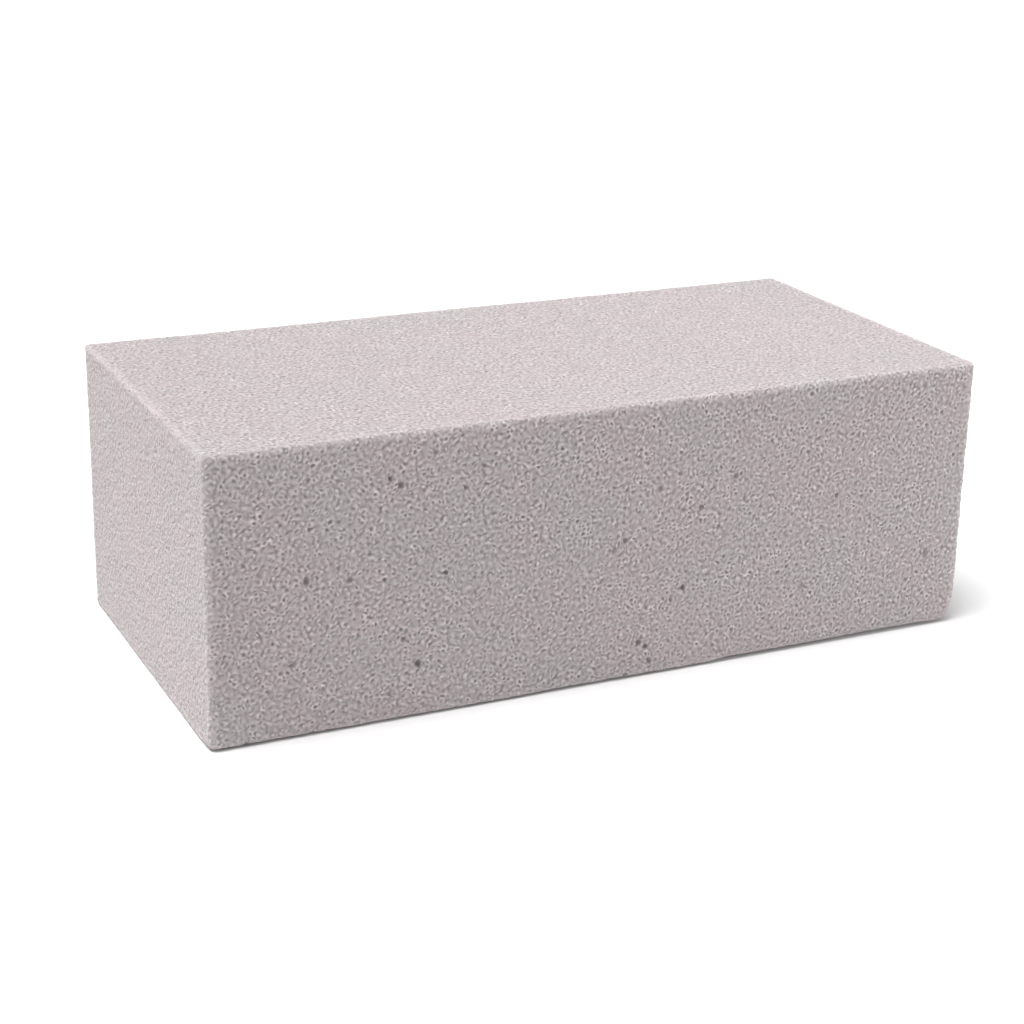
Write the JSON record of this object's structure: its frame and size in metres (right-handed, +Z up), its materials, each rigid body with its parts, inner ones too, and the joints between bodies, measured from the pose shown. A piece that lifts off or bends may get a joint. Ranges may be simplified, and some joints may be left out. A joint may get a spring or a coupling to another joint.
{
  "type": "floral foam brick",
  "caption": "Rectangular block of dry open-celled foam that flower stems, wires and picks are pushed into to hold an arrangement.",
  "frame": {"origin": "middle of the underside", "axes": "+X along the length towards the right end, +Y through the depth towards the back, +Z up; the front is the -Y face"},
  "size_m": [0.23, 0.11, 0.08],
  "materials": {
    "dry_foam": "dull, powdery cut face of fine open cells, greyish mauve, with a few larger pores"
  },
  "bodies": {
    "root": {"foam_brick": "dry_foam"}
  },
  "joints": []
}
